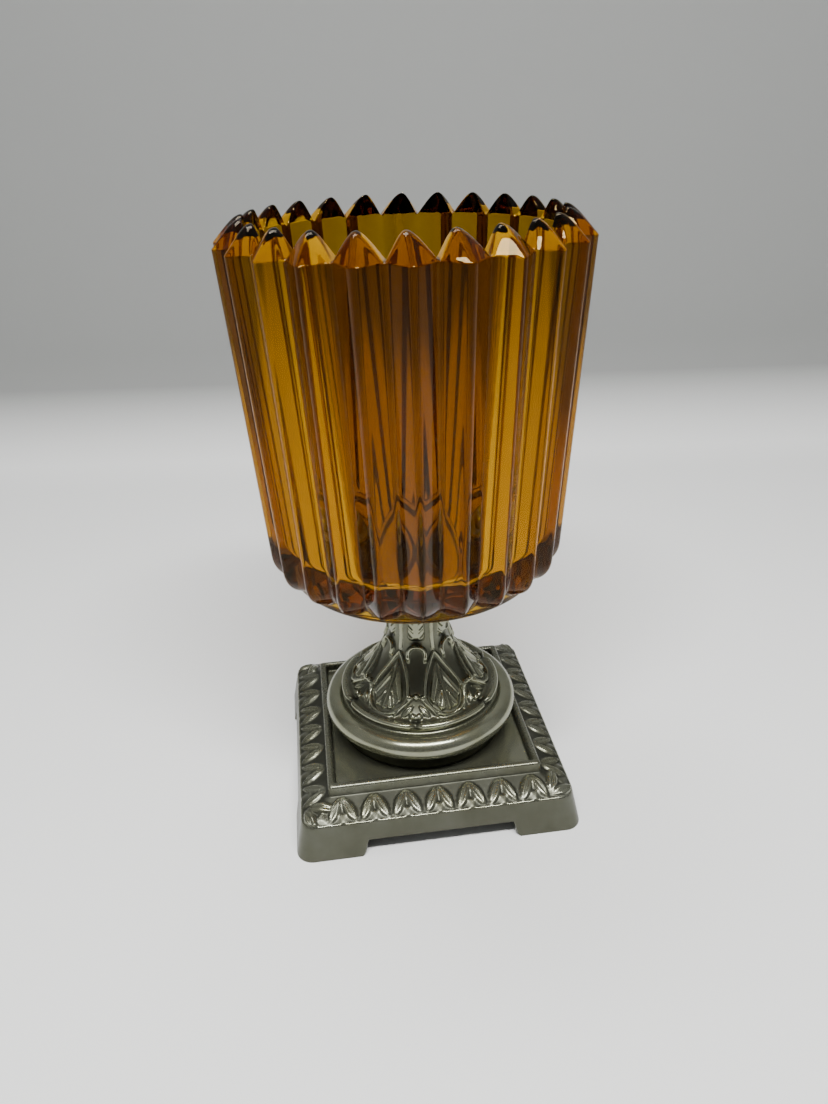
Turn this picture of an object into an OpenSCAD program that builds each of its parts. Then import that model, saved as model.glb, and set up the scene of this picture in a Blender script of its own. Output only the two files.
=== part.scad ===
// Candlestick: a pressed-glass cup with a toothed rim on a cast metal stem and a square plinth.
// One long machine screw runs down the middle and clamps the stack between its head,
// inside the cup, and a nut under the plinth. The origin is the middle of the square that
// the feet stand on, +Z is up, and the plinth's sides lie along X and Y.

/* [Plinth] */
// Width of the plinth across the feet, at the floor
foot_w = 68.6; // [66:0.2:80]
// Width of the plinth at the top of its upright apron
apron_w = 65; // [60:0.5:66]
// Height of the apron, from the floor to the leaf border
apron_h = 9; // [8:0.5:14]
// Corner radius of the plinth
plinth_corner_r = 4; // [2:0.5:6]
// Width across the outside of the raised bead
bead_w = 51.4; // [49:0.2:55]
// Width of the bead itself
bead_t = 1.8; // [1.2:0.1:2.4]
// Height of the bead above the sunk panel
bead_h = 2.1; // [1:0.1:3]
// Height of the sunk panel that the stem stands on
panel_z = 12.2; // [12.2:0.1:18]
// Width of the notch between two feet, at the floor
notch_w = 37.6; // [20:0.2:44]
// Height of the notch
notch_h = 4.2; // [2:0.1:5]
// Thickness of the cast walls
cast_wall = 2.6; // [2:0.1:3.2]

/* [Stem] */
// Diameter over the ring at the foot of the stem
ring_d = 48.8; // [46:0.2:49]
// Thickness of the ring
ring_t = 5.8; // [5:0.1:6.2]
// Diameter of the lip above the ring
lip_d = 40.4; // [39.6:0.2:41.6]
// Diameter at the foot of the leaf-covered bell
bell_d = 35; // [33:0.2:36]
// Diameter of the neck
neck_d = 14.8; // [12:0.2:18]
// Height of the stem
stem_h = 45.1; // [42:0.1:50]
// Turn of the stem's leaves on the plinth
stem_turn = -11; // [-45:1:45]

/* [Glass cup] */
// Diameter over the rib crests at the shoulder
cup_d = 76; // [74:0.5:80]
// Diameter over the rib crests at the bottom
cup_bottom_d = 68; // [66:0.5:70]
// Diameter of the disc that the cup stands on
cup_disc_d = 59.2; // [56:0.2:61]
// Number of ribs, and of teeth on the rim
rib_count = 24; // [20:2:30]
// Depth of the V grooves between the ribs
rib_depth = 2.9; // [1.5:0.1:3.2]
// Inner diameter at the rim
cup_bore_d = 63; // [60:0.5:64]
// Inner diameter at the floor
cup_floor_d = 55; // [52:0.5:56]
// Thickness of the glass floor
cup_floor_t = 7.5; // [5:0.5:9]
// Height from the cup's underside to the shoulder where the teeth begin
cup_body_h = 73.2; // [60:0.2:90]
// Height of the teeth
tooth_h = 4.8; // [3:0.1:6]
// Sideways set of the tooth tips from the crests below them
tooth_skew = -1.5; // [-3:0.5:3]
// Turn of the glass on the plinth
cup_turn = -5; // [-15:1:15]

/* [Seat and fastening] */
// Diameter of the metal plate under the glass
seat_d = 28; // [26:0.5:32]
// Thickness of the seat plate
seat_t = 1.2; // [0.8:0.1:2]
// Thickness of the rubber gasket under the glass
seat_gasket_t = 1; // [0.8:0.1:2]
// Thread diameter of the clamping screw
screw_d = 5; // [4:0.5:5]
// Length of the clamping screw under its head
screw_l = 65; // [64:0.5:66]
// Diameter of the clearance holes through the castings
clearance_d = 5.6; // [5.4:0.1:6]

/* [Hidden] */
$fn = 96;
eps = 0.01;

// Leaf border, between the apron and the bead
border_top_z = panel_z - 0.4;
border_top_corner_r = 1;
bead_step = 0.2;
notch_draft = 1;
panel_t = 2;
inner_corner_r = 2;
skirt_top_z = apron_h - 1;

// Heights along the stem
stem_top_z = panel_z + stem_h;
ring_r = ring_t / 2;
ring_z = panel_z + 7.2;
ring_path_r = ring_d / 2 - ring_r;
drum_r = ring_path_r - 0.7;
drum_waist = 0.6;
drum_waist_z = panel_z + 2.5;
lip_r = lip_d / 2;
lip_z = panel_z + 11.9;
lip_edge_r = 0.75;
cove_r = lip_r - 0.9;
cove_z = lip_z - 1.4;
bell_r = bell_d / 2;
bell_z = lip_z + 0.7;
dip_r = bell_r + 0.7;
dip_z = bell_z - 0.4;
stem_wall = 3.6;
hollow_top_z = panel_z + 25.3;
neck_r = neck_d / 2;
neck_z = panel_z + 31.3;
flare_r = 10.5;
bell_power = 2;
bell_steps = 14;
flare_steps = 6;
arc_steps = 12;
foot_arc_steps = 6;

// Heights of the clamped stack
seat_z = stem_top_z + seat_t;
cup_z = seat_z + seat_gasket_t;
cup_floor_z = cup_z + cup_floor_t;
shoulder_z = cup_z + cup_body_h;
rim_z = shoulder_z + tooth_h;
cup_hole_d = 8;
disc_edge_h = 1.4;
rib_start_h = cup_floor_t;
floor_fillet_r = 3;
tip_r = cup_bore_d / 2 + 0.6;

seat_lip_h = 0.8;
seat_lip_t = 1;
washer_d = 15;
washer_t = 0.8;
floor_gasket_t = 0.8;
floor_gasket_d = 16;
base_washer_t = 1;
head_d = 9.6;
head_h = 2.6;
head_edge_h = 1.4;
head_crown_d = 6;
recess_l = 4.6;
recess_t = 1;
recess_h = 1.5;
nut_across_flats = 8;
nut_h = 4;
lock_d = 8.6;
lock_t = 1.2;
lock_gap = 1;
head_z = cup_floor_z + floor_gasket_t + washer_t;
panel_underside_z = panel_z - panel_t;

// Points of an arc round (r, z), from angle a0 to a1
function arc(r, z, radius, a0, a1) = [
    for (i = [0:arc_steps]) let (a = a0 + (a1 - a0) * i / arc_steps)
        [r + radius * cos(a), z + radius * sin(a)]
];

// The bell sweeps in from its foot to the neck
function bell(t) = [neck_r + (bell_r - neck_r) * pow(1 - t, bell_power), bell_z + (neck_z - bell_z) * t];

// Above the neck the stem flares out to carry the seat plate
function flare(t) = [neck_r + (flare_r - neck_r) * t * t, neck_z + (stem_top_z - neck_z) * t];

// A flat square with round corners, drawn thin so that two of them can be hulled
module rounded_slab(w, r, z) {
    translate([0, 0, z])
        for (x = [-1, 1], y = [-1, 1])
            translate([x * (w / 2 - r), y * (w / 2 - r), 0])
                cylinder(h = eps, r = r, $fn = 32);
}

// A tapering block with round corners between two heights
module rounded_frustum(w0, r0, z0, w1, r1, z1) {
    hull() {
        rounded_slab(w0, r0, z0);
        rounded_slab(w1, r1, z1 - eps);
    }
}

// A flat ring between two heights
module ring_plate(outer_d, inner_d, z, h) {
    translate([0, 0, z])
        difference() {
            cylinder(h = h, d = outer_d);
            translate([0, 0, -1]) cylinder(h = h + 2, d = inner_d);
        }
}

// Cutter for the notch between two feet, running right through along Y
module foot_notch() {
    translate([0, foot_w, 0])
        rotate([90, 0, 0])
            linear_extrude(2 * foot_w)
                polygon([
                    [-notch_w / 2 - notch_draft / notch_h, -1],
                    [notch_w / 2 + notch_draft / notch_h, -1],
                    [notch_w / 2 - notch_draft, notch_h],
                    [-notch_w / 2 + notch_draft, notch_h]
                ]);
}

// Square casting: four corner feet, upright apron, sloping border, raised bead, sunk panel
module plinth() {
    color("#8b887c")
        difference() {
            union() {
                rounded_frustum(foot_w, plinth_corner_r, 0, apron_w, plinth_corner_r, apron_h);
                rounded_frustum(
                    apron_w, plinth_corner_r, apron_h - eps,
                    bead_w, border_top_corner_r, border_top_z
                );
                linear_extrude(panel_z + bead_h) square(bead_w - 2 * bead_step, center = true);
            }
            translate([0, 0, panel_z]) linear_extrude(bead_h + 1) square(bead_w - 2 * bead_t, center = true);
            rounded_frustum(
                foot_w - 2 * cast_wall, inner_corner_r, -1,
                apron_w - 2 * cast_wall, inner_corner_r, skirt_top_z
            );
            translate([0, 0, skirt_top_z - 1])
                linear_extrude(panel_underside_z - skirt_top_z + 1)
                    square(bead_w - 2 * cast_wall, center = true);
            foot_notch();
            rotate([0, 0, 90]) foot_notch();
            translate([0, 0, -1]) cylinder(h = panel_z + 2, d = clearance_d);
        }
}

// Turned profile of the stem: drum, ring, cove, lip, bell, neck and flare, hollow under the bell
module stem() {
    color("#8f8c80")
        rotate([0, 0, stem_turn])
            rotate_extrude()
                polygon(concat(
                    [[drum_r, panel_z], [drum_r - drum_waist, drum_waist_z]],
                    arc(ring_path_r, ring_z, ring_r, -90, 120),
                    [[cove_r, cove_z]],
                    arc(lip_r - lip_edge_r, lip_z, lip_edge_r, -90, 90),
                    [[dip_r, dip_z]],
                    [for (i = [0:bell_steps]) bell(i / bell_steps)],
                    [for (i = [1:flare_steps]) flare(i / flare_steps)],
                    [
                        [clearance_d / 2, stem_top_z],
                        [clearance_d / 2, hollow_top_z],
                        [bell(0.5)[0] - stem_wall, bell(0.4)[1]],
                        [bell(0.2)[0] - stem_wall, bell(0.15)[1]],
                        [lip_r - stem_wall, lip_z - stem_wall],
                        [drum_r - stem_wall, panel_z]
                    ]
                ));
}

// Dished metal plate that spreads the load of the glass and centres its gasket
module seat_plate() {
    color("#6f6d64")
        rotate_extrude()
            polygon([
                [clearance_d / 2, stem_top_z],
                [seat_d / 2 - 0.5, stem_top_z],
                [seat_d / 2, stem_top_z + 0.5],
                [seat_d / 2, seat_z + seat_lip_h],
                [seat_d / 2 - seat_lip_t, seat_z + seat_lip_h],
                [seat_d / 2 - seat_lip_t, seat_z],
                [clearance_d / 2, seat_z]
            ]);
}

// Soft washer between the seat plate and the underside of the glass
module seat_gasket() {
    color("#2b2926") ring_plate(seat_d - 2 * seat_lip_t - 0.4, clearance_d, seat_z, seat_gasket_t);
}

// One level of the ribbed outside: crests and valleys take turns round the cup
function rib_level(z, crest_r, valley_r) = [
    for (i = [0:2 * rib_count - 1]) let (a = 180 * i / rib_count, r = i % 2 == 0 ? crest_r : valley_r)
        [r * sin(a), -r * cos(a), z]
];

// One level of the round foot: crests start at the disc, and grooves run out into it higher up
function foot_level(t) = let (
    disc_r = cup_disc_d / 2,
    crest_r = disc_r + (cup_bottom_d / 2 - disc_r) * sin(90 * t),
    valley_r = max(disc_r, crest_r - rib_depth)
) rib_level(cup_z + disc_edge_h + (rib_start_h - disc_edge_h) * (1 - cos(90 * t)), crest_r, valley_r);

// Ribbed outside of the glass as one closed solid, with a pyramid on each rib for the teeth
module ribbed_block() {
    around = 2 * rib_count;
    levels = concat(
        [rib_level(cup_z, cup_disc_d / 2 - 0.5, cup_disc_d / 2 - 0.5)],
        [for (i = [0:foot_arc_steps]) foot_level(i / foot_arc_steps)],
        [rib_level(shoulder_z, cup_d / 2, cup_d / 2 - rib_depth)]
    );
    shoulder = around * (len(levels) - 1);
    inner = around * len(levels);
    tips = inner + rib_count;
    inner_r = cup_bore_d / 2 - 1;
    inner_points = [
        for (k = [0:rib_count - 1]) let (a = 360 * (k - 0.5) / rib_count)
            [inner_r * sin(a), -inner_r * cos(a), shoulder_z]
    ];
    tip_points = [
        for (k = [0:rib_count - 1]) let (a = 360 * k / rib_count + tooth_skew)
            [tip_r * sin(a), -tip_r * cos(a), rim_z]
    ];
    side_faces = [
        for (level = [0:len(levels) - 2], i = [0:around - 1])
            let (a = level * around + i, b = level * around + (i + 1) % around)
            each [[a, a + around, b + around], [a, b + around, b]]
    ];
    tooth_faces = [
        for (k = [0:rib_count - 1])
            let (
                crest = shoulder + 2 * k,
                left = shoulder + (2 * k - 1 + around) % around,
                right = shoulder + (2 * k + 1) % around,
                in_left = inner + k,
                in_right = inner + (k + 1) % rib_count,
                tip = tips + k
            )
            each [
                [left, tip, crest], [crest, tip, right], [in_left, tip, left],
                [right, tip, in_right], [in_right, tip, in_left]
            ]
    ];
    polyhedron(
        points = concat([for (level = levels) each level], inner_points, tip_points),
        faces = concat(
            [[for (i = [0:around - 1]) i]],
            side_faces,
            tooth_faces,
            [[for (k = [rib_count - 1:-1:0]) inner + k]]
        )
    );
}

// Pressed glass: ribbed outside, smooth conical inside, thick floor with a hole for the screw
module glass_cup() {
    taper = (cup_bore_d - cup_floor_d) / 2 / (shoulder_z - cup_floor_z);
    fillet_path_r = cup_floor_d / 2 - floor_fillet_r;
    color("#c77a10", 0.6)
        difference() {
            rotate([0, 0, cup_turn]) ribbed_block();
            rotate_extrude()
                polygon(concat(
                    [[0, cup_floor_z]],
                    arc(fillet_path_r, cup_floor_z + floor_fillet_r, floor_fillet_r, -90, 0),
                    [[cup_bore_d / 2 + taper * (tooth_h + 1), rim_z + 1], [0, rim_z + 1]]
                ));
            translate([0, 0, cup_z - 1]) cylinder(h = cup_floor_t + 2, d = cup_hole_d);
        }
}

// Soft washer on the floor of the cup
module floor_gasket() {
    color("#2b2926") ring_plate(floor_gasket_d, clearance_d, cup_floor_z, floor_gasket_t);
}

// Flat metal washer under the screw's head
module floor_washer() {
    color("#a9a79f") ring_plate(washer_d, clearance_d, cup_floor_z + floor_gasket_t, washer_t);
}

// Long machine screw with a low pan head and a cross recess
module clamp_screw() {
    color("#b5b2a8")
        difference() {
            union() {
                translate([0, 0, head_z - screw_l]) cylinder(h = screw_l + eps, d = screw_d);
                translate([0, 0, head_z]) cylinder(h = head_edge_h, d = head_d);
                translate([0, 0, head_z + head_edge_h])
                    cylinder(h = head_h - head_edge_h, d1 = head_d, d2 = head_crown_d);
            }
            for (turn = [0, 90])
                rotate([0, 0, turn])
                    translate([-recess_l / 2, -recess_t / 2, head_z + head_h - recess_h])
                        cube([recess_l, recess_t, recess_h + 1]);
        }
}

// Flat washer against the underside of the plinth's panel
module base_washer() {
    color("#a9a79f") ring_plate(washer_d, clearance_d, panel_underside_z - base_washer_t, base_washer_t);
}

// Split spring washer
module lock_washer() {
    lock_z = panel_underside_z - base_washer_t - lock_t;
    color("#96948b")
        difference() {
            ring_plate(lock_d, screw_d + 0.2, lock_z, lock_t);
            translate([0, -lock_gap / 2, lock_z - 1]) cube([lock_d, lock_gap, lock_t + 2]);
        }
}

// Hexagon nut that draws the whole stack together
module base_nut() {
    nut_z = panel_underside_z - base_washer_t - lock_t - nut_h;
    color("#a9a79f")
        translate([0, 0, nut_z])
            difference() {
                cylinder(h = nut_h, d = nut_across_flats / cos(30), $fn = 6);
                translate([0, 0, -1]) cylinder(h = nut_h + 2, d = screw_d);
            }
}

plinth();
stem();
seat_plate();
seat_gasket();
glass_cup();
floor_gasket();
floor_washer();
clamp_screw();
base_washer();
lock_washer();
base_nut();
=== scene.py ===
"""Candlestick of ribbed amber glass on a leaf-cast pewter stem and a square footed plinth.

Sizes of the object's pieces are in millimetres, in the frame of the CAD model, with the origin on the
floor under the middle of the plinth. They are turned into metres when a mesh is made. The studio and
the materials are in metres.
"""

import math

import bpy
import numpy as np
from mathutils import Matrix, Vector


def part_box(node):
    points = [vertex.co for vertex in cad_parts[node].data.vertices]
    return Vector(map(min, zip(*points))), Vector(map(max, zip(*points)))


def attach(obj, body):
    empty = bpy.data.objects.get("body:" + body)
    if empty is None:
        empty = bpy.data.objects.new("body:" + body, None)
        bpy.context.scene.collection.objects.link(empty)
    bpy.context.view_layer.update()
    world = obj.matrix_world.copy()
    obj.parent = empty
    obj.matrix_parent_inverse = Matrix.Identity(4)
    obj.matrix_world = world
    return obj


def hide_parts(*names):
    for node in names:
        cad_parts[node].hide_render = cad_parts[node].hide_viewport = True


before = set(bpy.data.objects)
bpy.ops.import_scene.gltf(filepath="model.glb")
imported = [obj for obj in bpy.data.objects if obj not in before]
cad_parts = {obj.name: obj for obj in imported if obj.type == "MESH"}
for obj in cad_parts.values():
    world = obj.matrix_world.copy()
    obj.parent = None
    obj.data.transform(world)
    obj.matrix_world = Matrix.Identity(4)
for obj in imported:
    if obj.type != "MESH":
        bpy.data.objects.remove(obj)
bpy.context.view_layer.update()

MM = 0.001
TURN = 2 * math.pi

# Radius of the holes that the screw goes through
CLEARANCE = 2.8


def height(node, end):
    """Lowest (0) or highest (1) level of a CAD node, in millimetres."""
    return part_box(node)[end][2] / MM


def half_width(node):
    """Half the width of a CAD node along X, in millimetres."""
    low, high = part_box(node)
    return (high[0] - low[0]) / 2 / MM


# ---------------------------------------------------------------- meshes

def mesh_piece(name, points, quads, material):
    """A smooth-shaded mesh object from points in millimetres."""
    mesh = bpy.data.meshes.new(name)
    mesh.from_pydata((np.asarray(points, float) * MM).tolist(), [], quads)
    mesh.validate()
    mesh.polygons.foreach_set("use_smooth", np.ones(len(mesh.polygons), bool))
    mesh.materials.append(material)
    piece = bpy.data.objects.new(name, mesh)
    bpy.context.scene.collection.objects.link(piece)
    return piece


def ring_quads(rows, columns):
    """Faces of a grid that closes on itself both ways, like the skin of a torus."""
    row, column = np.meshgrid(np.arange(rows), np.arange(columns), indexing="ij")
    below, right = (row + 1) % rows, (column + 1) % columns
    upper, lower = row * columns, below * columns
    corners = (upper + column, upper + right, lower + right, lower + column)
    return np.stack(corners, -1).reshape(-1, 4).tolist()


def ring_piece(name, grid, material, relief=None):
    """A closed piece with a hole down its middle, from a grid of points [row, column, xyz].

    The rows run up the outside and come back down the bore. relief, where given, is stored on the
    points for the material: 0 in the recesses and 1 on the high points.
    """
    rows, columns = grid.shape[:2]
    piece = mesh_piece(name, grid.reshape(-1, 3), ring_quads(rows, columns), material)
    if relief is not None:
        stored = piece.data.attributes.new("relief", "FLOAT", "POINT")
        stored.data.foreach_set("value", relief.reshape(-1).astype(np.float32))
    return piece


def capped_piece(name, grid, material):
    """A solid piece from a grid of points whose first and last rows close up to their middles.

    The rows run upwards, with their points counterclockwise, so that the faces look outwards.
    """
    rows, columns = grid.shape[:2]
    last = (rows - 1) * columns
    first_middle, last_middle = rows * columns, rows * columns + 1
    ends = np.stack([grid[0].mean(0), grid[-1].mean(0)])
    sides = [quad for quad in ring_quads(rows, columns) if quad[0] < last]
    fans = []
    for k in range(columns):
        following = (k + 1) % columns
        fans.append((first_middle, following, k))
        fans.append((last_middle, last + k, last + following))
    return mesh_piece(name, np.concatenate([grid.reshape(-1, 3), ends]), sides + fans, material)


def subdivide(piece):
    """Rounds the piece by one level of subdivision and keeps the result as its mesh."""
    modifier = piece.modifiers.new("Subdivide", "SUBSURF")
    modifier.levels = modifier.render_levels = 1
    graph = bpy.context.evaluated_depsgraph_get()
    finished = bpy.data.meshes.new_from_object(piece.evaluated_get(graph))
    piece.modifiers.clear()
    piece.data = finished
    finished.polygons.foreach_set("use_smooth", np.ones(len(finished.polygons), bool))


def finish_piece(piece, node):
    """Puts the piece in the place of its CAD node: hides the node and attaches the piece to the root body.
    """
    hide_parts(node)
    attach(piece, "root")


def arc(radius, level, bend, start, end, steps):
    """Points (r, z) on an arc round (radius, level), from one angle in degrees to another."""
    angles = np.radians(np.linspace(start, end, steps + 1))
    return [(radius + bend * math.cos(a), level + bend * math.sin(a)) for a in angles]


def turned_rows(rows, angles):
    """Grid of points from rows of (r, z), each a number or one value for every angle, from +X."""
    return np.stack([
        np.stack([r * np.cos(angles), r * np.sin(angles), z + 0 * angles], -1) for r, z in rows
    ])


def spin(profile, columns):
    """Grid of points from an outline of (r, z) pairs turned about the Z axis, from -Y."""
    return turned_rows(profile, np.linspace(0, TURN, columns, endpoint=False) - TURN / 4)


def smooth_step(value, low, high):
    """0 below low, 1 above high, with soft ends in between."""
    t = np.clip((value - low) / (high - low), 0, 1)
    return t * t * (3 - 2 * t)


def bump(distance, width):
    """A round ridge of unit height, that wide from foot to foot."""
    return np.clip(1 - (2 * distance / width) ** 2, 0, 1) ** 0.75


def ridge_line(distance, width):
    """A soft line of unit height."""
    return np.exp(-(2 * distance / width) ** 2)


# ---------------------------------------------------------------- materials

def new_material(name):
    material = bpy.data.materials.new(name)
    material.use_nodes = True
    nodes = material.node_tree.nodes
    return material, nodes, material.node_tree.links, nodes["Principled BSDF"]


def noise(nodes, links, scale, detail=4.0, stretch=(1, 1, 1), roughness=0.55):
    """Noise in the object's own metres, drawn out along an axis where stretch is under 1."""
    place = nodes.new("ShaderNodeTexCoord")
    mapping = nodes.new("ShaderNodeMapping")
    mapping.inputs["Scale"].default_value = stretch
    texture = nodes.new("ShaderNodeTexNoise")
    texture.inputs["Scale"].default_value = scale
    texture.inputs["Detail"].default_value = detail
    texture.inputs["Roughness"].default_value = roughness
    links.new(place.outputs["Object"], mapping.inputs["Vector"])
    links.new(mapping.outputs["Vector"], texture.inputs["Vector"])
    return texture.outputs["Fac"]


def remap(nodes, links, value, low, high, to_low=0.0, to_high=1.0):
    node = nodes.new("ShaderNodeMapRange")
    node.inputs["From Min"].default_value = low
    node.inputs["From Max"].default_value = high
    node.inputs["To Min"].default_value = to_low
    node.inputs["To Max"].default_value = to_high
    links.new(value, node.inputs["Value"])
    return node.outputs["Result"]


def blend_colour(nodes, links, factor, low, high):
    """Mixes two colours, each a tuple or a socket."""
    node = nodes.new("ShaderNodeMix")
    node.data_type = "RGBA"
    links.new(factor, node.inputs["Factor"])
    for socket, colour in ((node.inputs[6], low), (node.inputs[7], high)):
        if isinstance(colour, tuple):
            socket.default_value = (*colour, 1)
        else:
            links.new(colour, socket)
    return node.outputs[2]


def math_node(nodes, links, operation, first, second):
    node = nodes.new("ShaderNodeMath")
    node.operation = operation
    for socket, value in zip(node.inputs, (first, second)):
        if isinstance(value, (int, float)):
            socket.default_value = value
        else:
            links.new(value, socket)
    return node.outputs[0]


def surface_bump(nodes, links, shader, value, strength, distance):
    node = nodes.new("ShaderNodeBump")
    node.inputs["Strength"].default_value = strength
    node.inputs["Distance"].default_value = distance
    links.new(value, node.inputs["Height"])
    links.new(node.outputs["Normal"], shader.inputs["Normal"])


def pewter(name, bright, dark, polish, metallic):
    """Antique plating: dark tarnish in the recesses, warm cloudy grey, and rubbed high points."""
    material, nodes, links, shader = new_material(name)
    relief = nodes.new("ShaderNodeAttribute")
    relief.attribute_name = "relief"
    clouds = noise(nodes, links, 140, 3)
    grain = noise(nodes, links, 1400, 3)
    cloud_offset = math_node(nodes, links, "SUBTRACT", clouds, 0.5)
    patches = math_node(nodes, links, "MULTIPLY", cloud_offset, 0.3)
    worn = math_node(nodes, links, "ADD", relief.outputs["Fac"], patches)
    height_mix = remap(nodes, links, worn, 0.05, 0.75)
    tone = remap(nodes, links, clouds, 0.35, 0.7)
    warm = tuple(c * k for c, k in zip(bright, (1.02, 1.0, 0.86)))
    body = blend_colour(nodes, links, tone, warm, bright)
    links.new(blend_colour(nodes, links, height_mix, dark, body), shader.inputs["Base Color"])
    rubbed = remap(nodes, links, height_mix, 0, 1, polish + 0.22, polish)
    pitted = remap(nodes, links, grain, 0.3, 0.75, -0.03, 0.06)
    links.new(math_node(nodes, links, "ADD", rubbed, pitted), shader.inputs["Roughness"])
    shader.inputs["Metallic"].default_value = metallic
    surface_bump(nodes, links, shader, grain, 0.05, 0.00004)
    return material


def amber_glass():
    """Amber pressed glass with the slight waves of the mould."""
    material, nodes, links, shader = new_material("amber_glass")
    shader.inputs["Base Color"].default_value = (0.49, 0.29, 0.02, 1)
    shader.inputs["Transmission Weight"].default_value = 1.0
    shader.inputs["IOR"].default_value = 1.52
    shader.inputs["Specular Tint"].default_value = (0.3, 0.22, 0.1, 1)
    shine = noise(nodes, links, 260, 3)
    links.new(remap(nodes, links, shine, 0.58, 0.8, 0.0, 0.02), shader.inputs["Roughness"])
    waves = noise(nodes, links, 70, 2, stretch=(1, 1, 0.1))
    surface_bump(nodes, links, shader, waves, 0.016, 0.0006)
    absorption = nodes.new("ShaderNodeVolumeAbsorption")
    absorption.inputs["Color"].default_value = (0.915, 0.84, 0.0, 1)
    absorption.inputs["Density"].default_value = 300
    links.new(absorption.outputs["Volume"], nodes["Material Output"].inputs["Volume"])
    return material


def plated_steel(name, colour, roughness, scratch_stretch):
    """Satin zinc plating with fine drawn scratches."""
    material, nodes, links, shader = new_material(name)
    scratches = noise(nodes, links, 2200, 4, stretch=scratch_stretch)
    stain = noise(nodes, links, 300, 3)
    dull = tuple(c * 0.62 for c in colour)
    tone = blend_colour(nodes, links, remap(nodes, links, stain, 0.35, 0.65), dull, colour)
    links.new(tone, shader.inputs["Base Color"])
    gloss = remap(nodes, links, scratches, 0.2, 0.8, roughness - 0.08, roughness + 0.14)
    links.new(gloss, shader.inputs["Roughness"])
    shader.inputs["Metallic"].default_value = 1.0
    surface_bump(nodes, links, shader, scratches, 0.2, 0.00003)
    return material


def rubber():
    """Dull black rubber with a dusty bloom."""
    material, nodes, links, shader = new_material("rubber")
    bloom = noise(nodes, links, 420, 5)
    grain = noise(nodes, links, 2600, 2)
    dust = remap(nodes, links, bloom, 0.4, 0.75)
    tone = blend_colour(nodes, links, dust, (0.018, 0.016, 0.014), (0.06, 0.056, 0.05))
    links.new(tone, shader.inputs["Base Color"])
    links.new(remap(nodes, links, grain, 0.3, 0.7, 0.62, 0.85), shader.inputs["Roughness"])
    surface_bump(nodes, links, shader, grain, 0.3, 0.00005)
    return material


def paper_with_painted_backdrop_shade(name, pale, grey):
    """Matt studio paper, pale on the floor, with painted shade that darkens it to grey up the backdrop.

    Its back is clear, so that the object can also be seen from under the floor.
    """
    material, nodes, links, shader = new_material(name)
    place = nodes.new("ShaderNodeTexCoord")
    split = nodes.new("ShaderNodeSeparateXYZ")
    links.new(place.outputs["Object"], split.inputs["Vector"])
    fibre = noise(nodes, links, 900, 3)
    # Painted shade: the paper's colour turns from pale to grey as it rises up the backdrop
    rise = remap(nodes, links, split.outputs["Z"], 0.004, 0.034)
    links.new(blend_colour(nodes, links, rise, pale, grey), shader.inputs["Base Color"])
    shader.inputs["Roughness"].default_value = 0.9
    shader.inputs["Specular IOR Level"].default_value = 0.2
    surface_bump(nodes, links, shader, fibre, 0.05, 0.0002)
    facing = nodes.new("ShaderNodeNewGeometry")
    clear = nodes.new("ShaderNodeBsdfTransparent")
    choice = nodes.new("ShaderNodeMixShader")
    links.new(facing.outputs["Backfacing"], choice.inputs[0])
    links.new(shader.outputs["BSDF"], choice.inputs[1])
    links.new(clear.outputs["BSDF"], choice.inputs[2])
    links.new(choice.outputs["Shader"], nodes["Material Output"].inputs["Surface"])
    return material


# ---------------------------------------------------------------- glass cup

RIB_COUNT = 24
RIB_DEPTH = 2.9
HALF_RIB = math.pi / RIB_COUNT
CUP_TURN = math.radians(-5)
COLUMNS_PER_RIB = 20
TOOTH_HEIGHT = 4.8
TOOTH_SKEW = math.radians(-1.5)
# A tooth's flat facets would meet this far above the shoulder; the dome under them is this blunt
FACET_PEAK = 7.8
TOOTH_BLUNT = 3.0
TOOTH_SHARPNESS = 4.0

# Levels of the foot, the floor inside and the shoulder under the teeth
CUP_BASE = height("glass_cup", 0)
CUP_FLOOR = height("floor_gasket", 0)
SHOULDER = height("glass_cup", 1) - TOOTH_HEIGHT

# Radii: crests and valleys of the ribs at the shoulder, crests at the foot, disc, bore and hole
CREST = half_width("glass_cup") + 0.08
VALLEY = CREST - RIB_DEPTH
CREST_FOOT = CREST - 4
DISC = CREST - 8.4
BORE = CREST - 6.5
BORE_FOOT = CREST - 10.5
CUP_HOLE = 4.0

# A ring groove runs under the foot, between the gasket's pad and the disc's rim
PAD = 15.2
GROOVE = 2.2
RIM_WIDTH = 2.9
DISC_EDGE = 1.4
FLOOR_BEND = 3.0


def eased(w, near, far):
    """0 to 1, straight in the middle and rounded over the first and last fractions."""
    full = 1 - near / 2 - far / 2
    value = np.where(w < near, w * w / (2 * near), w - near / 2)
    value = np.where(w > 1 - far, full - (1 - w) ** 2 / (2 * far), value)
    return value / full


def rib_radius(w, crest, valley, round_crest=0.16, round_valley=0.1):
    """Radius of the flat-sided V rib, with w running from 0 on the crest to 1 in the valley."""
    run, rise = valley * math.cos(HALF_RIB) - crest, valley * math.sin(HALF_RIB)
    a = eased(w, round_crest, round_valley) * HALF_RIB
    return crest * rise / (np.cos(a) * rise - np.sin(a) * run)


def facet(a, b, c, x, y):
    """Height over (x, y) of the plane through three points."""
    normal = np.cross(np.subtract(b, a), np.subtract(c, a))
    return a[2] - (normal[0] * (x - a[0]) + normal[1] * (y - a[1])) / normal[2]


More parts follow.
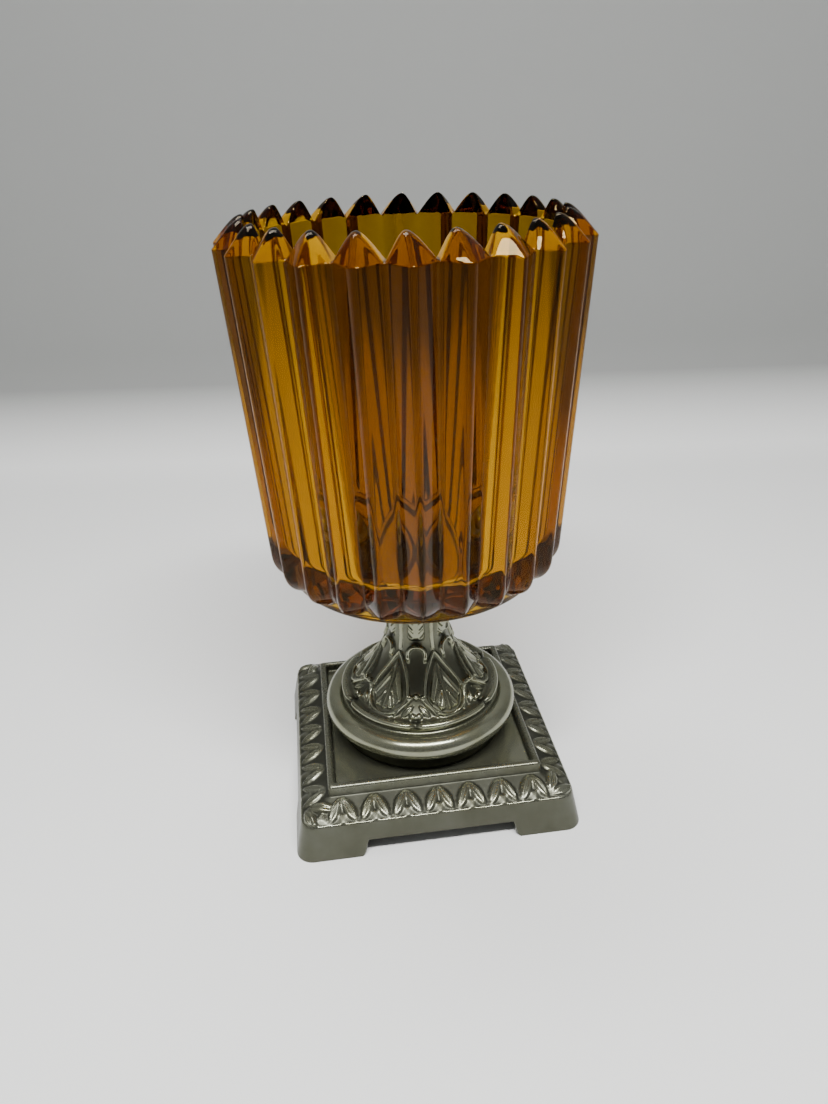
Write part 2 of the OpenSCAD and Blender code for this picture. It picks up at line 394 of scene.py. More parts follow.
def tooth_height(offset, r):
    """Height of the toothed rim at an angle from the middle of a tooth.

    Four flat facets meet in a point above the tooth. The tooth is the dome that fits just under them.
    """
    peak_r = BORE + 0.6
    peak = (peak_r * math.sin(TOOTH_SKEW), peak_r * math.cos(TOOTH_SKEW), SHOULDER + FACET_PEAK)
    front = (0, CREST, SHOULDER)
    x, y = r * np.sin(offset), r * np.cos(offset)
    facets = []
    for side in (-1, 1):
        sine, cosine = side * math.sin(HALF_RIB), math.cos(HALF_RIB)
        outer = (VALLEY * sine, VALLEY * cosine, SHOULDER)
        inner = (BORE * sine, BORE * cosine, SHOULDER)
        facets.append(facet(peak, front, outer, x, y) - SHOULDER)
        facets.append(facet(peak, outer, inner, x, y) - SHOULDER)
    over = -np.log(np.exp(-TOOTH_SHARPNESS * np.stack(facets)).sum(0)) / TOOTH_SHARPNESS
    domed = FACET_PEAK - np.hypot(FACET_PEAK - over, TOOTH_BLUNT)
    lowest = FACET_PEAK - math.hypot(FACET_PEAK, TOOTH_BLUNT)
    return SHOULDER + (domed - lowest) * TOOTH_HEIGHT / (FACET_PEAK - TOOTH_BLUNT - lowest)


def under_foot_rows():
    """Underside of the foot from the hole to the disc's edge, as rows of (r, z)."""
    for radius in (CUP_HOLE + 0.3, 9, PAD - 0.6, PAD):
        yield radius, CUP_BASE
    for radius, recess in ((PAD + 0.2, 0.2), (PAD + 0.8, 1.9), (PAD + 1.4, GROOVE), (21, GROOVE)):
        yield radius, CUP_BASE + recess
    groove_rim = DISC - RIM_WIDTH
    for radius, recess in ((groove_rim - 1.3, GROOVE), (groove_rim - 0.9, 2.0), (groove_rim - 0.3, 0.2)):
        yield radius, CUP_BASE + recess
    for radius in (groove_rim, DISC - 1.2, DISC - 0.7):
        yield radius, CUP_BASE
    yield DISC - 0.2, CUP_BASE + 0.12
    yield DISC, CUP_BASE + 0.4
    yield DISC, CUP_BASE + DISC_EDGE - 0.3


def ribbed_rows(w):
    """The ribs, which grow out of the disc in a quarter circle and then rise to the shoulder."""
    disc_top = CUP_BASE + DISC_EDGE
    for t in (0.0, 0.12, 0.22, 0.32, 0.42, 0.5, 0.58, 0.66, 0.75, 0.87, 1.0):
        outer = DISC + (CREST_FOOT - DISC) * math.sin(t * math.pi / 2)
        level = disc_top + (CUP_FLOOR - disc_top) * (1 - math.cos(t * math.pi / 2))
        ribbed = rib_radius(w, outer, outer - RIB_DEPTH)
        yield (ribbed + DISC + np.hypot(ribbed - DISC, 0.12)) / 2, level
    for t in (0.04, 0.12, 0.25, 0.4, 0.55, 0.7, 0.82, 0.91, 0.96, 0.985, 0.995):
        outer = CREST_FOOT + (CREST - CREST_FOOT) * t
        yield rib_radius(w, outer, outer - RIB_DEPTH), CUP_FLOOR + (SHOULDER - CUP_FLOOR) * t


def rim_rows(w, offset):
    """Across the top of the teeth, from the ribs to the bore."""
    edge = rib_radius(w, CREST, VALLEY)
    for t in (0.0, 0.02, 0.07, 0.16, 0.28, 0.4, 0.52, 0.64, 0.75, 0.85, 0.93, 0.985):
        radius = edge + (BORE + 0.12 - edge) * t
        yield radius, tooth_height(offset, radius)


def bore_rows(offset):
    """Down the smooth bore, over the floor to the hole, and down the hole."""
    top = tooth_height(offset, BORE)
    slope = (BORE - BORE_FOOT) / (SHOULDER - CUP_FLOOR)
    for t in (0.004, 0.015, 0.04, 0.09, 0.18, 0.3, 0.45, 0.6, 0.75, 0.88, 0.97):
        level = top + (CUP_FLOOR + FLOOR_BEND - top) * t
        yield BORE_FOOT + (level - CUP_FLOOR) * slope, level
    yield from arc(BORE_FOOT - FLOOR_BEND + 0.2, CUP_FLOOR + FLOOR_BEND, FLOOR_BEND, 0, -90, 6)
    for radius in (21, 16, 10, CUP_HOLE + 0.6, CUP_HOLE + 0.15):
        yield radius, CUP_FLOOR
    for level in (CUP_FLOOR - 0.4, (CUP_FLOOR + CUP_BASE) / 2, CUP_BASE + 0.3):
        yield CUP_HOLE, level


def cup_grid():
    """The cup's skin, from the hole in its foot round the outside and back down the bore."""
    around = np.linspace(0, TURN, RIB_COUNT * COLUMNS_PER_RIB, endpoint=False)
    offset = (around + HALF_RIB) % (2 * HALF_RIB) - HALF_RIB
    w = np.abs(offset) / HALF_RIB
    rows = (*under_foot_rows(), *ribbed_rows(w), *rim_rows(w, offset), *bore_rows(offset))
    return turned_rows(rows, around + CUP_TURN - TURN / 4)


def build_glass_cup():
    piece = ring_piece("ribbed_glass_cup", cup_grid(), amber_glass())
    subdivide(piece)
    finish_piece(piece, "glass_cup")


# ---------------------------------------------------------------- stem

LEAF_COUNT = 6
COLUMNS_PER_LEAF = 84
STEM_TURN = math.radians(-11)

# Levels up the stem, and the radius of each part of its outline
STEM_FOOT = height("stem", 0)
STEM_TOP = height("stem", 1)
RING_OUTER = half_width("stem")
RING_LEVEL = STEM_FOOT + 7.2
RING_BEND = 2.9
DRUM = RING_OUTER - RING_BEND - 0.7
LIP = RING_OUTER - 4.2
LIP_LEVEL = STEM_FOOT + 11.9
LIP_BEND = 0.75
BELL_FOOT = RING_OUTER - 6.9
BELL_LEVEL = LIP_LEVEL + 0.7
BELL_POWER = 2.0
NECK = 7.4
NECK_LEVEL = STEM_FOOT + 31.3
SEAT = 10.5

# Half the width of a large leaf, and how far up the bell it reaches
LEAF_HALF = 5.5
LEAF_LENGTH = 16.5
# The arch between two leaves: how far up the bell it springs, and half its width
ARCH_LEVEL = 15.2
ARCH_HALF = 2.2
# Points of the stem's outline, next below the bell, that are nicked in line with the channels
NICKED_ROWS = 14


def almond(x, y, centre, angle, length, width):
    """A pointed leaflet with a groove down its middle. angle is from +Y, positive to the right."""
    dx, dy = x - centre[0], y - centre[1]
    along = (dx * math.sin(angle) + dy * math.cos(angle)) / (length / 2)
    across = dx * math.cos(angle) - dy * math.sin(angle)
    half = width / 2 * np.clip(1 - along ** 2, 0.0001, 1)
    body = np.clip(1 - (across / half) ** 2, 0, 1) ** 0.6 * np.clip(1 - along ** 2, 0, 1) ** 0.35
    return body * (1 - 0.55 * ridge_line(across, width * 0.2))


def dot(x, y, centre, radius):
    """A round bead of unit height."""
    spot = np.hypot(x - centre[0], y - centre[1]) / radius
    return np.clip(1 - spot ** 2, 0, 1) ** 0.5


def leaf_face(outline, side, along):
    """The veined blade inside a leaf's raised edge."""
    phase = (along + 2 * side) / 5.8
    wave = np.cos(TURN * phase)
    blade = smooth_step(0.3 * wave - outline, 1.3, 2.0)
    veins = np.clip(wave + 0.25, 0, 1) ** 0.8 * smooth_step(side, 0.4, 1.0)
    return blade * (0.3 + 0.52 * veins + 0.3 * bump(side, 0.9))


def channel_foot(gap_across, along):
    """Beads, splayed lines and leaflets between the feet of two leaves."""
    gap_side = np.abs(gap_across)
    relief = np.zeros_like(gap_across)
    upper_beads = ((-1.7, 4.9), (0.0, 5.2), (1.7, 4.9))
    lower_beads = ((-0.75, 0.5), (0.75, 0.5), (0.0, -0.1))
    for x, y in upper_beads + lower_beads:
        relief = np.maximum(relief, 0.95 * dot(gap_across, along, (x, y), 0.85))
    slope_across = (gap_side - 1.5) * 0.73 + (along - 4.6) * 0.68
    on_slope = smooth_step(gap_side, 1.2, 1.6) * (1 - smooth_step(gap_side, 5.2, 5.8))
    relief = np.maximum(relief, 0.7 * bump(slope_across, 0.9) * on_slope)
    for lean in (-1, 1):
        leaflet = almond(gap_across, along, (lean * 2.1, 1.7), lean * -0.75, 4.4, 1.5)
        relief = np.maximum(relief, 0.75 * leaflet)
    pit = gap_side / 1.4 + np.abs(along - 2.3) / 2.0
    return relief - 0.5 * (1 - smooth_step(pit, 0.5, 1.0))


def large_leaf(side, along):
    """A leaf with a round foot, a raised edge that fades towards its point, and a veined blade."""
    taper = np.clip((along - 4.5) / (LEAF_LENGTH - 4.5), 0, 1) ** 1.4
    bottom = np.hypot(side, along - LEAF_HALF + 0.5) - LEAF_HALF
    outline = np.where(along < LEAF_HALF, bottom, side - LEAF_HALF * (1 - taper))
    point = smooth_step(along, LEAF_LENGTH - 1, LEAF_LENGTH + 1)
    rim = 0.9 * bump(outline + 0.35, 1.15) * (1 - 0.45 * smooth_step(along, 7, 13) - 0.55 * point)
    hollow = 0.3 * bump(outline + 1.3, 1.2) * (1 - smooth_step(along, 6, 9))
    return np.maximum(rim, leaf_face(outline, side, along)) - hollow


def channel_top(gap_side, side, along):
    """The arch over a channel, the veined leaf on the neck above it, and the rib beside that leaf."""
    above_arch = along - ARCH_LEVEL
    outline = np.hypot(gap_side, np.maximum(above_arch, 0)) - ARCH_HALF
    arch = 0.85 * bump(outline, 1.15) * smooth_step(above_arch, -ARCH_HALF, -0.6)
    neck_leaf = smooth_step(2.4 - gap_side, 0, 0.8) * smooth_step(above_arch, 3.4, 4.8)
    phase = (along - 1.3 * np.minimum(gap_side, side + 0.6)) / 2.6
    veins = np.clip(np.cos(TURN * phase), 0, 1) * smooth_step(gap_side, 0.4, 0.9)
    rib = 0.6 * bump(side, 1.3) * smooth_step(above_arch, 0, 2)
    return np.maximum(np.maximum(arch, rib), neck_leaf * (0.5 + 0.4 * veins))


def bell_relief(across, along, gap_across):
    """Leaf relief of the bell, in millimetres proud of it.

    across is the distance round from the middle of the nearest large leaf, gap_across the distance
    from the middle of the nearest gap, and along the distance up the bell from its foot.
    """
    side, gap_side = np.abs(across), np.abs(gap_across)
    relief = np.maximum(large_leaf(side, along), channel_top(gap_side, side, along))
    shadow = ridge_line(np.hypot(gap_side / 1.6, along - ARCH_LEVEL - 3.4), 1.3)
    return np.maximum(relief, channel_foot(gap_across, along)) - 0.45 * shadow


def toned(points, tone):
    """Gives every (r, z) point of an outline the same tone."""
    return [(r, z, tone) for r, z in points]


def ring_outline():
    """The drum at the stem's foot, the round ring, and the lip, up to where the bell starts."""
    foot = [(DRUM, 0), (DRUM, 0.5), (DRUM - 0.3, 1.3), (DRUM - 0.6, 2.4)]
    drum = [(r, STEM_FOOT + rise) for r, rise in foot]
    drum += [(DRUM - 0.6, RING_LEVEL - RING_BEND - 0.5), (DRUM - 0.2, RING_LEVEL - RING_BEND - 0.05)]
    ring = arc(RING_OUTER - RING_BEND, RING_LEVEL, RING_BEND, -80, 122, 26)
    cove = [(LIP - 0.85, LIP_LEVEL - 1.75), (LIP - 0.95, LIP_LEVEL - 1.2), (LIP - 0.8, LIP_LEVEL - 0.85)]
    lip = arc(LIP - LIP_BEND, LIP_LEVEL, LIP_BEND, -80, 80, 10)
    step = [(LIP - 1.1, LIP_LEVEL + 0.6), (LIP - 1.5, LIP_LEVEL + 0.42)]
    dip = [(LIP - 1.9, LIP_LEVEL + 0.4), (LIP - 2.3, LIP_LEVEL + 0.48)]
    lower = toned(drum, 0.15) + toned(ring, 0.57) + toned(cove, 0.2)
    return lower + toned(lip, 0.6) + toned(step, 0.35) + toned(dip, 0.2)


def bell_outline():
    """The bell's curve in to the neck and the flare above it, in small steps for the relief."""
    t = np.linspace(0, 1, 170)
    bell_r = NECK + (BELL_FOOT - NECK) * (1 - t) ** BELL_POWER
    bell_z = BELL_LEVEL + (NECK_LEVEL - BELL_LEVEL) * t
    t = np.linspace(0, 1, 80)[1:]
    flare_r = NECK + (SEAT - NECK) * t ** 2
    flare_z = NECK_LEVEL + (STEM_TOP - 0.4 - NECK_LEVEL) * t
    return toned(zip(np.concatenate([bell_r, flare_r]), np.concatenate([bell_z, flare_z])), 0.5)


def inside_outline():
    """The seat on top, the bore for the screw, and the hollow under the bell."""
    seat = [(SEAT - 0.1, STEM_TOP - 0.1), (SEAT - 0.5, STEM_TOP), (6, STEM_TOP)]
    seat += [(CLEARANCE + 0.2, STEM_TOP), (CLEARANCE, STEM_TOP - 0.3)]
    hollow = [(CLEARANCE, NECK_LEVEL - 6), (5, NECK_LEVEL - 9.5), (8, BELL_LEVEL + 4), (11, BELL_LEVEL)]
    hollow += [(LIP - 3.6, LIP_LEVEL - 3.6), (DRUM - 3.8, STEM_FOOT + 0.4)]
    hollow += [(DRUM - 3.6, STEM_FOOT), (DRUM - 0.6, STEM_FOOT)]
    return toned(seat, 0.5) + toned(hollow, 0.1)


def raise_leaves(grid, tone, outline, leaf_angle, gap_angle, around):
    """Stands the leaf relief proud of the bell's outline, and tones the bell by it."""
    r, z = outline[:, 0], outline[:, 1]
    step = np.hypot(np.gradient(r), np.gradient(z))
    along = np.cumsum(step) - step[0]
    normal = np.stack([np.gradient(z), -np.gradient(r)], -1) / step[:, None]
    relief = bell_relief(r[:, None] * leaf_angle, along[:, None], r[:, None] * gap_angle)
    calm = smooth_step(along, -0.3, 0.4) * (1 - smooth_step(along, along[-1] - 1.2, along[-1] - 0.2))
    relief = (relief - 0.3) * calm[:, None]
    grown_r = r[:, None] + relief * normal[:, :1]
    grid[:, :, 0] = grown_r * np.sin(around)
    grid[:, :, 1] = -grown_r * np.cos(around)
    grid[:, :, 2] = z[:, None] + relief * normal[:, 1:]
    tone[:] = np.clip(0.42 + 0.6 * relief, 0, 1)


def nick_lip(grid, tone, gap_angle):
    """Nicks the lip in line with each channel of the bell."""
    nick = ridge_line(grid[0, 0, 1] * gap_angle, 2.2)
    grid[:, :, :2] *= 1 - 0.04 * nick[:, None]
    grid[:, :, 2] -= 0.5 * nick
    tone *= 1 - 0.8 * nick


def build_stem():
    ring, bell = ring_outline(), bell_outline()
    outline = np.array(ring + bell + inside_outline())
    bell_rows = slice(len(ring), len(ring) + len(bell))
    lip_rows = slice(len(ring) - NICKED_ROWS, len(ring))
    columns = LEAF_COUNT * COLUMNS_PER_LEAF
    grid = spin(outline[:, :2], columns)
    tone = np.repeat(outline[:, 2:], columns, 1)
    around = np.linspace(0, TURN, columns, endpoint=False)
    sector = TURN / LEAF_COUNT
    gap_angle = (around + sector / 2) % sector - sector / 2
    leaf_angle = around % sector - sector / 2
    raise_leaves(grid[bell_rows], tone[bell_rows], outline[bell_rows], leaf_angle, gap_angle, around)
    nick_lip(grid[lip_rows], tone[lip_rows], gap_angle)
    grid = grid @ np.array(Matrix.Rotation(STEM_TURN, 3, "Z")).T
    metal = pewter("stem_pewter", (0.31, 0.32, 0.245), (0.035, 0.036, 0.026), 0.15, 0.86)
    finish_piece(ring_piece("leaf_cast_stem", grid, metal, tone), "stem")


# ---------------------------------------------------------------- plinth

PAIRS_PER_SIDE = 7
PAIR_SPREAD = 1.035
SIDE_COLUMNS = 150
CORNER_COLUMNS = 22

# Half widths of the square at the floor, the apron's top, and both sides of the bead round the panel
FOOT = half_width("plinth")
APRON = FOOT - 1.8
BEAD_OUTER = FOOT - 8.6
BEAD_INNER = FOOT - 10.4
CORNER = 4.0
BEAD_CORNER = 0.8

PLINTH_TOP = height("plinth", 1)
PANEL_LEVEL = STEM_FOOT
BORDER_LEVEL = PANEL_LEVEL - 0.4
APRON_LEVEL = 9.0
WALL = 2.6

# The opening under each side, between the feet
NOTCH_HALF = 18.8
NOTCH_HEIGHT = 4.2
NOTCH_DRAFT = 1.0


def rounded_square(half, corner):
    """Points round a square with round corners, the same number on every such square."""
    straight = np.linspace(-1, 1, SIDE_COLUMNS + 1)[:-1] * (half - corner)
    bend = np.linspace(-math.pi / 2, 0, CORNER_COLUMNS + 1)[:-1]
    side = np.stack([straight, np.full(SIDE_COLUMNS, -half)], -1)
    turned = np.stack([half - corner + corner * np.cos(bend), -(half - corner) + corner * np.sin(bend)], -1)
    quarter = np.concatenate([side, turned])
    spins = [np.array(Matrix.Rotation(k * math.pi / 2, 2)) for k in range(4)]
    return np.concatenate([quarter @ s.T for s in spins])


def leaf_pair(x, y, size):
    """Two leaflets leaning together over a small hill at their feet."""
    downhill = np.clip(-y - 2.9, -3, 3)
    relief = 0.35 * np.clip(1 - np.abs(x) / size - downhill / 2.2 / size, 0, 1)
    relief *= smooth_step(-y, 0.6 * size, 1.4 * size)
    for lean in (-1, 1):
        centre = (lean * 1.65 * size, -0.1)
        relief = np.maximum(relief, almond(x, y, centre, -lean * 0.47, 6.8 * size, 2.6 * size))
    return relief


def border_relief(x, y, outer, inner):
    """Leaf pairs along the sloping border, in millimetres proud of it, seen in plan."""
    relief = np.zeros_like(x)
    middle = (outer + inner) / 2
    pitch = 2 * inner / PAIRS_PER_SIDE * PAIR_SPREAD
    cos_45 = math.sqrt(0.5)
    for quarter in range(4):
        turn = np.array(Matrix.Rotation(-quarter * math.pi / 2, 2))
        u = turn[0, 0] * x + turn[0, 1] * y
        v = turn[1, 0] * x + turn[1, 1] * y + middle
        for k in range(PAIRS_PER_SIDE):
            place = pitch * (k - (PAIRS_PER_SIDE - 1) / 2)
            relief = np.maximum(relief, leaf_pair(u - place, v, 1.0))
        diagonal = cos_45 * (u + middle + v)
        outward = cos_45 * (v - u - middle)
        relief = np.maximum(relief, leaf_pair(diagonal, outward, 1.1))
    return relief


def foot_lift(points):
    """How far the foot line is raised over the notches."""
    inward = NOTCH_HALF - np.abs(points).min(1)
    return NOTCH_HEIGHT * smooth_step(inward, 0.0, NOTCH_DRAFT)


def apron_rows():
    """Outside of the apron, from the feet up, as rows of (points, level, tone)."""
    base = rounded_square(FOOT, CORNER)
    lift = foot_lift(base)
    for t in (0.0, 0.03, 0.1, 0.25, 0.45, 0.65, 0.85, 0.95):
        level = lift + (APRON_LEVEL - lift) * t
        half = FOOT + (APRON - FOOT) * level / APRON_LEVEL
        yield base * (half / FOOT)[:, None], level, 0.28
    yield rounded_square(APRON + 0.02, CORNER), APRON_LEVEL - 0.15, 0.6
    yield rounded_square(APRON - 0.25, CORNER), APRON_LEVEL + 0.05, 0.7


def border_rows():
    """The sloping border with its leaf pairs."""
    slope = np.array([BORDER_LEVEL - APRON_LEVEL, APRON - BEAD_OUTER])
    slope /= np.linalg.norm(slope)
    for t in np.linspace(0.05, 0.98, 30):
        half = APRON + (BEAD_OUTER - APRON) * t
        ring = rounded_square(half, CORNER + (BEAD_CORNER - CORNER) * t)
        level = APRON_LEVEL + (BORDER_LEVEL - APRON_LEVEL) * t
        fade = min(1.0, (1 - t) / 0.05, t / 0.06)
        relief = border_relief(ring[:, 0], ring[:, 1], APRON, BEAD_OUTER) * fade
        out = 0.75 * (relief - 0.15 * fade)
        grown = ring * (1 + out * slope[0] / half)[:, None]
        yield grown, level + out * slope[1], np.clip(0.12 + 0.85 * relief, 0, 1)


def bore_circle(count):
    """Points round the screw's hole, in step with those round a square."""
    angle = np.linspace(0, TURN, count, endpoint=False) - 3 * math.pi / 4
    return np.stack([np.cos(angle), np.sin(angle)], -1) * CLEARANCE


def panel_rows():
    """The bead, flattened a little, and the panel inside it as far as the screw's hole."""
    bead_middle, bead_half = (BEAD_OUTER + BEAD_INNER) / 2, (BEAD_OUTER - BEAD_INNER) / 2
    flatness = 0.8
    spring = PLINTH_TOP - bead_half * flatness
    yield rounded_square(BEAD_OUTER, BEAD_CORNER), BORDER_LEVEL + 0.2, 0.4
    for across, rise in arc(0, 0, bead_half, 0, 180, 10):
        yield rounded_square(bead_middle + across, 0.7), spring + rise * flatness, 0.5
    yield rounded_square(BEAD_INNER, 0.6), PANEL_LEVEL + 0.35, 0.3
    yield rounded_square(BEAD_INNER - 0.15, 0.6), PANEL_LEVEL + 0.08, 0.5
    square = rounded_square(BEAD_INNER - 0.5, 0.6)
    for t in (0.0, 0.15, 0.35, 0.6, 0.85, 1.0):
        yield square * (1 - t) + bore_circle(len(square)) * t, PANEL_LEVEL, 1.0


def inside_rows():
    """Underside: the ceiling from the hole outwards, then down the inside of the apron."""
    ceiling = rounded_square(BEAD_OUTER - WALL, BEAD_CORNER)
    for t in (1.0, 0.6, 0.3, 0.0):
        yield ceiling * (1 - t) + bore_circle(len(ceiling)) * t, height("base_washer", 1), 0.1
    ledge = APRON_LEVEL - 1.0
    yield ceiling, ledge, 0.1
    inside, inside_top = FOOT - WALL, APRON - WALL
    yield rounded_square(inside_top, 2.0), ledge, 0.1
    wall_foot = rounded_square(inside, 2.0)
    lift = foot_lift(rounded_square(FOOT, CORNER))
    for t in (0.9, 0.6, 0.3, 0.1, 0.0):
        level = lift + (ledge - lift) * t
        half = inside + (inside_top - inside) * level / ledge
        yield wall_foot * (half / inside)[:, None], level, 0.2
    yield rounded_square(FOOT - 0.9, CORNER), lift, 0.3


def build_plinth():
    points, tones = [], []
    for outline, level, tone in (*apron_rows(), *border_rows(), *panel_rows(), *inside_rows()):
        count = len(outline)
        points.append(np.concatenate([outline, np.broadcast_to(level, count)[:, None]], 1))
        tones.append(np.broadcast_to(tone, count))
    metal = pewter("plinth_pewter", (0.185, 0.19, 0.15), (0.035, 0.036, 0.027), 0.2, 0.8)
    piece = ring_piece("leaf_border_plinth", np.stack(points), metal, np.stack(tones))
    finish_piece(piece, "plinth")


# ---------------------------------------------------------------- fastening

# An M5 screw
SCREW_RADIUS = 2.5
SHANK_RADIUS = SCREW_RADIUS - 0.02
THREAD_PITCH = 0.8
THREAD_LENGTH = 16
THREAD_DEPTH = 0.42
NUT_HALF_WIDTH = 4.0

# The screw's head: its flat crown, the cross recess cut in it, and the height of its rounded side
CROWN_RADIUS = 3.0
RECESS_REACH = 2.3
RECESS_HALF = 0.5
RECESS_DEPTH = 1.5
HEAD_BEND = 1.3


def rounded_section(inner, outer, low, high, edge, steps):
    """A rectangle with round corners as (r, z) pairs, up the outside and down the inside."""
    section = arc(outer - edge, low + edge, edge, -90, 0, steps)
    section += arc(outer - edge, high - edge, edge, 0, 90, steps)
    section += arc(inner + edge, high - edge, edge, 90, 180, steps)
    section += arc(inner + edge, low + edge, edge, 180, 270, steps)
    return section


def build_washer(name, node, edge, material):
    """A flat washer with rounded edges, as large as its CAD node."""
    section = rounded_section(CLEARANCE, half_width(node), height(node, 0), height(node, 1), edge, 4)
    finish_piece(ring_piece(name, spin(section, 96), material), node)


def build_seat_plate(material):
    """A dished plate whose raised lip holds the gasket."""
    low, high, outer = height("seat_plate", 0), height("seat_plate", 1), half_width("seat_plate")
    dish, lip = height("seat_gasket", 0), 1.0
    profile = [(CLEARANCE + 0.1, low), (outer - 0.9, low)]
    profile += arc(outer - 0.5, low + 0.5, 0.5, -90, 0, 5)
    profile += arc(outer - 0.3, high - 0.3, 0.3, 0, 90, 4)
    profile += arc(outer - lip + 0.25, high - 0.25, 0.25, 90, 180, 4)
    profile += [(outer - lip, dish + 0.15), (outer - lip - 0.15, dish), (CLEARANCE + 0.2, dish)]
    profile += [(CLEARANCE, dish - 0.2), (CLEARANCE, low + 0.1)]
    finish_piece(ring_piece("dished_seat", spin(profile, 128), material), "seat_plate")


def build_nut(material):
    """Hexagon nut with its corners taken off by a cone at both ends."""
    low, high = height("base_nut", 0), height("base_nut", 1)
    angles = np.linspace(0, TURN, 144, endpoint=False)
    hexagon = NUT_HALF_WIDTH / np.cos((angles + TURN / 12) % (TURN / 6) - TURN / 12)

    def cut(depth):
        return np.minimum(hexagon, NUT_HALF_WIDTH - 0.15 + 1.7 * depth)

    depths = (0.0, 0.08, 0.16, 0.24, 0.32, 0.5)
    mouth, bore = SCREW_RADIUS + 0.4, SCREW_RADIUS + 0.05
    rows = [(mouth, low)]
    rows += [(cut(depth), low + depth) for depth in (*depths, (high - low) / 2)]
    rows += [(cut(depth), high - depth) for depth in reversed(depths)]
    rows += [(mouth, high), (bore, high - 0.35), (bore, low + 0.35)]
    grid = turned_rows(rows, angles)
    finish_piece(ring_piece("hexagon_nut", grid, material), "base_nut")


def recess_depth(x, y):
    """How deep the cross recess in the screw's head is at a point."""
    x, y = np.abs(x), np.abs(y)
    along_x = np.maximum(x / RECESS_REACH, y / RECESS_HALF)
    along_y = np.maximum(y / RECESS_REACH, x / RECESS_HALF)
    return RECESS_DEPTH * (1 - smooth_step(np.minimum(along_x, along_y), 0.85, 1.05))


def head_rows(angles, high, seat, head_r):
    """The screw's head from the middle of its crown to its underside, as (r, z) rows."""
    for radius in np.linspace(0.1, CROWN_RADIUS, 30):
        yield radius, high - recess_depth(radius * np.cos(angles), radius * np.sin(angles))
    stretch = (head_r - CROWN_RADIUS) / HEAD_BEND
    for across, rise in arc(0, 0, HEAD_BEND, 90, 12, 8)[1:]:
        yield CROWN_RADIUS + across * stretch, high - HEAD_BEND + rise
    yield head_r, seat + 0.9
    yield head_r, seat + 0.2
    yield head_r - 0.2, seat
    yield SCREW_RADIUS + 0.1, seat


def shank_rows(angles, low, seat):
    """The plain shank and the thread below it, down to the screw's tip."""
    yield SHANK_RADIUS, seat - 0.15
    thread_top = low + THREAD_LENGTH
    for level in np.linspace(seat - 1, thread_top + 0.5, 12):
        yield SHANK_RADIUS, level
    for level in np.arange(thread_top, low + 0.45, -THREAD_PITCH / 8):
        turn = (level / THREAD_PITCH + angles / TURN) % 1
        depth = THREAD_DEPTH * min(1.0, (thread_top - level) / 1.5)
        yield SHANK_RADIUS - depth * (1 - np.abs(2 * turn - 1)), level
    yield SCREW_RADIUS - 0.45, low + 0.3
    yield SCREW_RADIUS - 0.75, low
    yield 0.5, low


def build_screw(material):
    """Pan-head screw: crowned head with a cross recess, plain shank, and a thread at its lower end."""
    low, high, head_r = height("clamp_screw", 0), height("clamp_screw", 1), half_width("clamp_screw")
    seat = height("floor_washer", 1)
    angles = np.linspace(0, TURN, 120, endpoint=False)
    downwards = (*head_rows(angles, high, seat, head_r), *shank_rows(angles, low, seat))
    grid = turned_rows(downwards[::-1], angles)
    finish_piece(capped_piece("pan_head_screw", grid, material), "clamp_screw")


def build_lock_washer(material):
    """One turn of square spring wire, with its two ends left apart."""
    low, high, outer = height("lock_washer", 0), height("lock_washer", 1), half_width("lock_washer")
    edge, gap = 0.12, 0.12
    r, z = np.array(rounded_section(SCREW_RADIUS + 0.1, outer, low, high, edge, 3)).T
    # The sections follow each other clockwise, which turns the faces outwards
    grid = np.stack([
        np.stack([r * math.cos(a), r * math.sin(a), z], -1) for a in np.linspace(TURN - gap, gap, 90)
    ])
    finish_piece(capped_piece("spring_washer", grid, material), "lock_washer")


def build_fastening():
    steel = plated_steel("plated_steel", (0.60, 0.58, 0.52), 0.34, (1, 1, 0.3))
    spring = plated_steel("spring_steel", (0.42, 0.41, 0.38), 0.38, (1, 1, 0.3))
    black = rubber()
    build_washer("inner_washer", "floor_washer", 0.15, steel)
    build_washer("under_washer", "base_washer", 0.2, steel)
    build_washer("inner_gasket", "floor_gasket", 0.2, black)
    build_washer("glass_gasket", "seat_gasket", 0.3, black)
    build_seat_plate(plated_steel("seat_metal", (0.30, 0.28, 0.22), 0.36, (0.4, 1, 1)))
    build_screw(steel)
    build_lock_washer(spring)
    build_nut(steel)


# ---------------------------------------------------------------- studio, in metres

# The camera stands in front of the candlestick, a little to its left, and looks down on it
CAMERA_HEADING = math.radians(-6.9)
CAMERA_REACH = 0.1776
CAMERA_HEIGHT = 0.1556
CAMERA_PITCH = math.radians(28.03)
CAMERA_ROLL = math.radians(-2.03)
CAMERA_PAN = math.radians(0.1)
LENS = 27.5
SENSOR_WIDTH = 36

SWEEP_SIZE = 1.6
BACKDROP_REACH = 0.24
BACKDROP_HEIGHT = 0.7


def build_camera():
    data = bpy.data.cameras.new("camera")
    data.lens = LENS
    data.sensor_width = SENSOR_WIDTH
    data.clip_start = 0.01
    camera = bpy.data.objects.new("camera", data)
    place = Matrix.Rotation(CAMERA_HEADING, 4, "Z") @ Matrix.Translation((0, -CAMERA_REACH, CAMERA_HEIGHT))
    aim = Matrix.Rotation(CAMERA_PAN, 4, "Z") @ Matrix.Rotation(math.pi / 2 - CAMERA_PITCH, 4, "X")
    camera.matrix_world = place @ aim @ Matrix.Rotation(CAMERA_ROLL, 4, "Z")
    bpy.context.scene.collection.objects.link(camera)
    bpy.context.scene.camera = camera


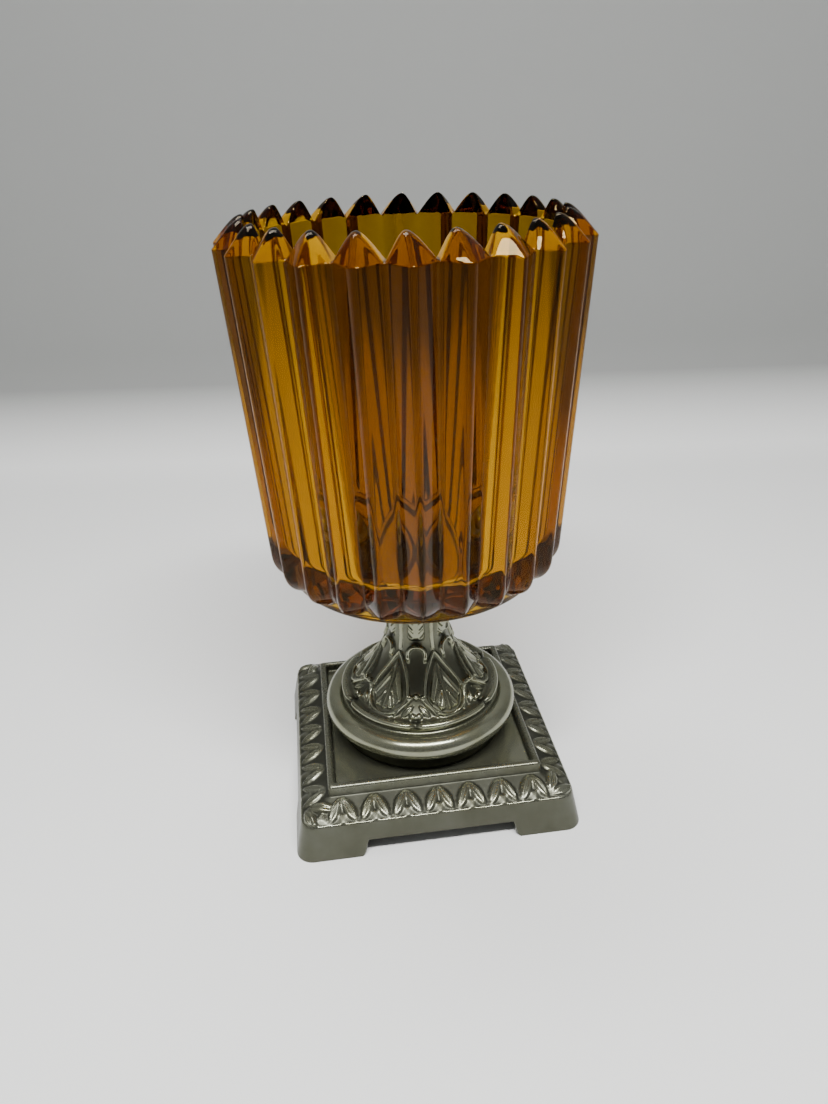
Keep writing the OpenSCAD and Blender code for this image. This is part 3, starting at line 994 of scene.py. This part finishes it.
def sweep_line():
    """Side view of the studio sweep as (y, z) pairs in metres: floor, bend and backdrop."""
    bend = 0.05
    line = [(-SWEEP_SIZE, 0.0), (-0.3, 0.0), (0.0, 0.0), (BACKDROP_REACH - bend, 0.0)]
    for a in np.linspace(0, math.pi / 2, 13)[1:]:
        line.append((BACKDROP_REACH - bend + bend * math.sin(a), bend - bend * math.cos(a)))
    return line + [(BACKDROP_REACH, BACKDROP_HEIGHT)]


def build_floor():
    """A pale floor, and a backdrop that sweeps up behind the object."""
    line = sweep_line()
    count = len(line)
    points = [(x / MM, y / MM, z / MM) for x in (-SWEEP_SIZE, SWEEP_SIZE) for y, z in line]
    faces = [(k, k + count, k + count + 1, k + 1) for k in range(count - 1)]
    # The pale colour is the paper's own; the grey up the backdrop is painted shade
    paper = paper_with_painted_backdrop_shade("studio_paper_painted_shade", (0.89, 0.895, 0.89), (0.295, 0.3, 0.295))
    sweep = mesh_piece("studio_sweep", points, faces, paper)
    sweep.rotation_euler.z = CAMERA_HEADING


def area_light(name, place, target, size, power, colour=(1, 1, 1)):
    """A lamp placed and aimed as seen from the camera's heading, and not seen through the glass."""
    data = bpy.data.lights.new(name, "AREA")
    data.shape = "RECTANGLE"
    data.size, data.size_y = size
    data.energy = power
    data.color = colour
    light = bpy.data.objects.new(name, data)
    turned = Matrix.Rotation(CAMERA_HEADING, 4, "Z")
    start, end = turned @ Vector(place), turned @ Vector(target)
    light.location = start
    light.rotation_euler = (end - start).to_track_quat("-Z", "Y").to_euler()
    light.visible_transmission = False
    bpy.context.scene.collection.objects.link(light)


def build_world():
    """A dim room that is darker in front of the object than behind it."""
    world = bpy.data.worlds.new("studio")
    world.use_nodes = True
    nodes, links = world.node_tree.nodes, world.node_tree.links
    background = nodes["Background"]
    direction = nodes.new("ShaderNodeTexCoord")
    split = nodes.new("ShaderNodeSeparateXYZ")
    links.new(direction.outputs["Generated"], split.inputs["Vector"])
    side = remap(nodes, links, split.outputs["Y"], -0.95, -0.3)
    shade = blend_colour(nodes, links, side, (0.12, 0.12, 0.12), (0.5, 0.505, 0.5))
    links.new(shade, background.inputs["Color"])
    background.inputs["Strength"].default_value = 0.7
    bpy.context.scene.world = world


build_camera()
build_floor()
area_light("front_bar", (0.02, -0.2, 0.46), (0, 0, 0.02), (0.34, 0.05), 3.8, (1.0, 1.0, 0.985))
area_light("overhead", (-0.12, 0.3, 0.75), (0, 0.04, 0), (0.45, 0.4), 5.8)
build_world()
build_glass_cup()
build_stem()
build_plinth()
build_fastening()
